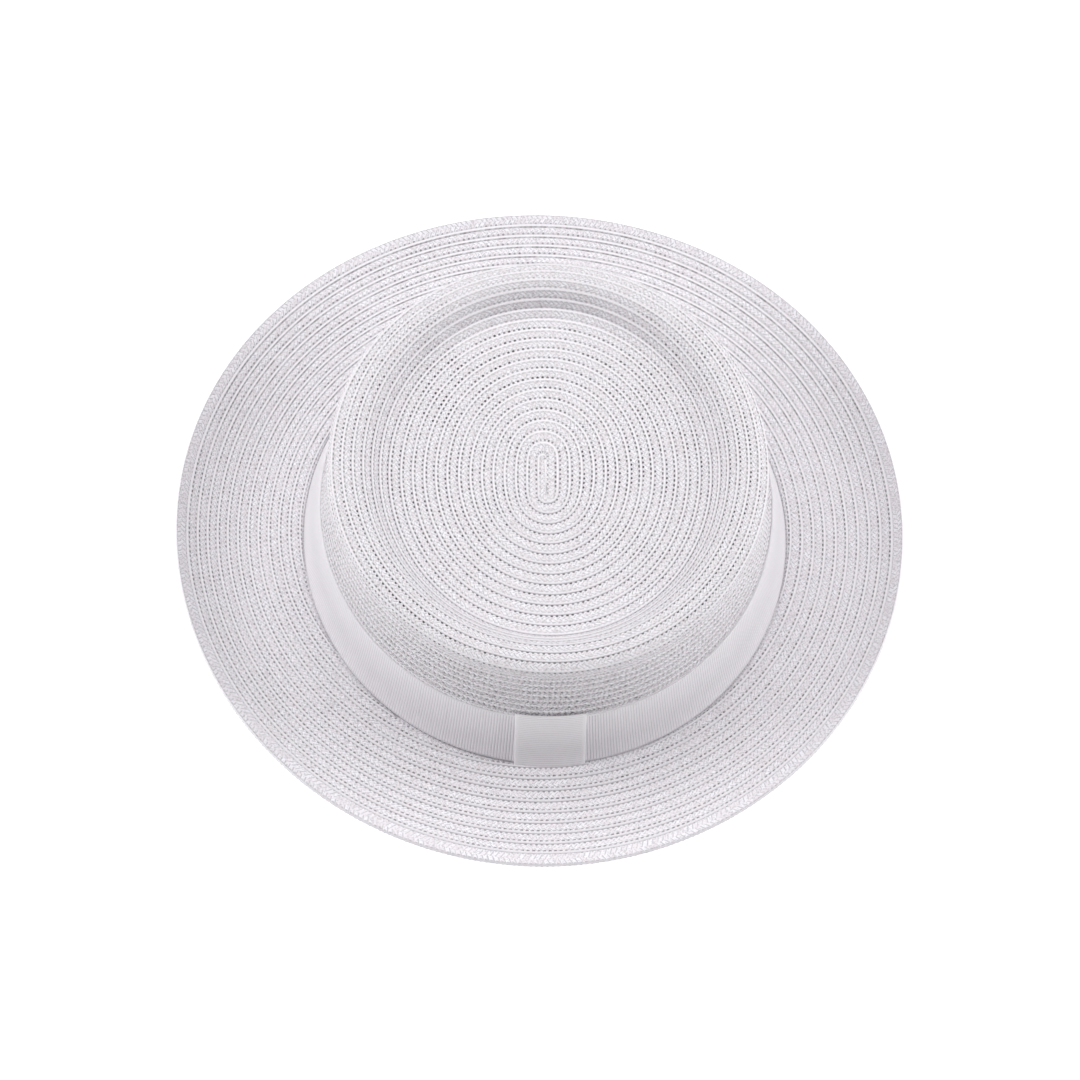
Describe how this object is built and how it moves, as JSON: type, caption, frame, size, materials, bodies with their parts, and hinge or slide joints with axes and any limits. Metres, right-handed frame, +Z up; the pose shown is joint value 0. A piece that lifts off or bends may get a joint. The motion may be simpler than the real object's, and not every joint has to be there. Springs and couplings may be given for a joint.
{
  "type": "pork pie hat",
  "caption": "Sewn straw hat with a low flared crown, a flat tip sunk inside a raised rim, a wide brim turned up at its edge, and a ribbon band closed by a keeper.",
  "frame": {"origin": "on the plane that the hat rests on, under the middle of the brim's outline", "axes": "+Z up through the crown, +X across the head, +Y along the head; the keeper is on the -Y side, and the hat is alike to both ends but for it"},
  "size_m": [0.2622, 0.269, 0.0568],
  "materials": {
    "straw": "matt white paper-straw braid in sewn, overlapping rows",
    "ribbon": "matt white ribbed grosgrain ribbon"
  },
  "bodies": {
    "root": {"crown": "straw", "brim": "straw", "ribbon_band": "ribbon", "ribbon_keeper": "ribbon"}
  },
  "joints": []
}
